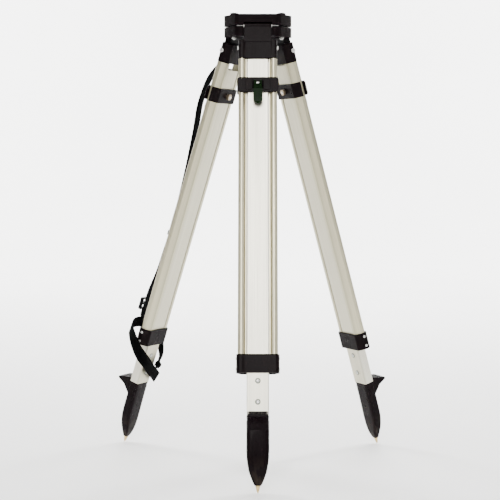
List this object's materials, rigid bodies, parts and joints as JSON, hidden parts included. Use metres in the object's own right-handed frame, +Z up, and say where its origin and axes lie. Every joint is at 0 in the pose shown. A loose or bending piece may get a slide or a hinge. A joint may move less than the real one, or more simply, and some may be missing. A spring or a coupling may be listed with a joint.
{
  "type": "surveyor tripod",
  "caption": "Surveyor's tripod with a flat perforated head, hinged collapsible aluminium legs, cam lever clamps, stepped shoes with brass-coloured points, and a carrying strap.",
  "frame": {"origin": "centre of the footprint's bounding box, on the ground", "axes": "+Z up; the front leg points along -Y, the other two back towards +X and -X"},
  "size_m": [0.6535, 0.5546, 1.026],
  "materials": {
    "casting": "satin black powder coat",
    "aluminium": "satin silver anodised",
    "steel": "zinc plated",
    "brass": "satin",
    "lever": "dark green moulded",
    "shoe": "gloss black enamel",
    "webbing": "woven polyester",
    "buckle": "moulded"
  },
  "bodies": {
    "head": {"head_plate": "casting", "hinge_retainer": "casting", "corner_screw_1": "steel", "corner_screw_2": "steel", "corner_screw_3": "steel", "front_hinge_pin": "steel", "right_hinge_pin": "steel", "left_hinge_pin": "steel", "arm_pivot_screw": "steel"},
    "arm": {"centring_arm": "steel"},
    "bush": {"screw_bush": "steel"},
    "screw": {"centring_screw": "brass"},
    "front_upper_leg": {"front_hinge_block": "casting", "front_block_bolt": "steel", "front_rail_a": "aluminium", "front_rail_b": "aluminium", "front_sleeve": "casting"},
    "front_lower_leg": {"front_lower_tube": "aluminium", "front_clamp_plate": "casting", "front_clamp_saddle": "casting", "front_clamp_bolt": "steel", "front_clamp_nut": "brass", "front_foot": "shoe", "front_foot_screw_upper": "steel", "front_foot_screw_lower": "steel", "front_foot_point": "brass"},
    "front_lever": {"front_clamp_lever": "lever"},
    "right_upper_leg": {"right_hinge_block": "casting", "right_block_bolt": "steel", "right_rail_a": "aluminium", "right_rail_b": "aluminium", "right_sleeve": "casting"},
    "right_lower_leg": {"right_lower_tube": "aluminium", "right_clamp_plate": "casting", "right_clamp_saddle": "casting", "right_clamp_bolt": "steel", "right_clamp_nut": "brass", "right_foot": "shoe", "right_foot_screw_upper": "steel", "right_foot_screw_lower": "steel", "right_foot_point": "brass"},
    "right_lever": {"right_clamp_lever": "lever"},
    "left_upper_leg": {"left_hinge_block": "casting", "left_block_bolt": "steel", "left_rail_a": "aluminium", "left_rail_b": "aluminium", "left_sleeve": "casting", "shoulder_strap": "webbing", "strap_buckle": "buckle", "binding_strap": "webbing"},
    "left_lower_leg": {"left_lower_tube": "aluminium", "left_clamp_plate": "casting", "left_clamp_saddle": "casting", "left_clamp_bolt": "steel", "left_clamp_nut": "brass", "left_foot": "shoe", "left_foot_screw_upper": "steel", "left_foot_screw_lower": "steel", "left_foot_point": "brass"},
    "left_lever": {"left_clamp_lever": "lever"}
  },
  "joints": [
    {"name": "arm_swing", "type": "hinge", "parent": "head", "child": "arm", "pos_m": [0.01544, 0.10911, 0.9705], "axis": [0, 0, 1], "range_deg": [-15, 15]},
    {"name": "bush_slide", "type": "slide", "parent": "arm", "child": "bush", "axis": [0, 1, 0], "range_m": [-0.012, 0.012]},
    {"name": "screw_turn", "type": "hinge", "parent": "bush", "child": "screw", "pos_m": [0.01544, 0.06661, 0.9705], "axis": [0, 0, 1], "continuous": true},
    {"name": "front_leg_fold", "type": "hinge", "parent": "head", "child": "front_upper_leg", "pos_m": [0.01544, 0.01261, 0.9943], "axis": [-1, 0, 0], "range_deg": [-16.65, 18.35]},
    {"name": "front_leg_slide", "type": "slide", "parent": "front_upper_leg", "child": "front_lower_leg", "axis": [0, -0.2865, -0.9581], "range_m": [-0.0002, 0.5398]},
    {"name": "front_lever_open", "type": "hinge", "parent": "front_lower_leg", "child": "front_lever", "pos_m": [0.01544, -0.04381, 0.86322], "axis": [-1, 0, 0], "range_deg": [0, 100]},
    {"name": "right_leg_fold", "type": "hinge", "parent": "head", "child": "right_upper_leg", "pos_m": [0.06221, 0.09361, 0.9943], "axis": [0.5, -0.866, 0], "range_deg": [-16.8, 18.2]},
    {"name": "right_leg_slide", "type": "slide", "parent": "right_upper_leg", "child": "right_lower_leg", "axis": [0.2503, 0.1445, -0.9573], "range_m": [-0.001, 0.539]},
    {"name": "right_lever_open", "type": "hinge", "parent": "right_lower_leg", "child": "right_lever", "pos_m": [0.11156, 0.1221, 0.86263], "axis": [0.5, -0.866, 0], "range_deg": [0, 100]},
    {"name": "left_leg_fold", "type": "hinge", "parent": "head", "child": "left_upper_leg", "pos_m": [-0.03132, 0.09361, 0.9943], "axis": [0.5, 0.866, 0], "range_deg": [-19, 16]},
    {"name": "left_leg_slide", "type": "slide", "parent": "left_upper_leg", "child": "left_lower_leg", "axis": [-0.2819, 0.1628, -0.9455], "range_m": [-0.0133, 0.5267]},
    {"name": "left_lever_open", "type": "hinge", "parent": "left_lower_leg", "child": "left_lever", "pos_m": [-0.08849, 0.12661, 0.85328], "axis": [0.5, 0.866, 0], "range_deg": [0, 100]}
  ]
}
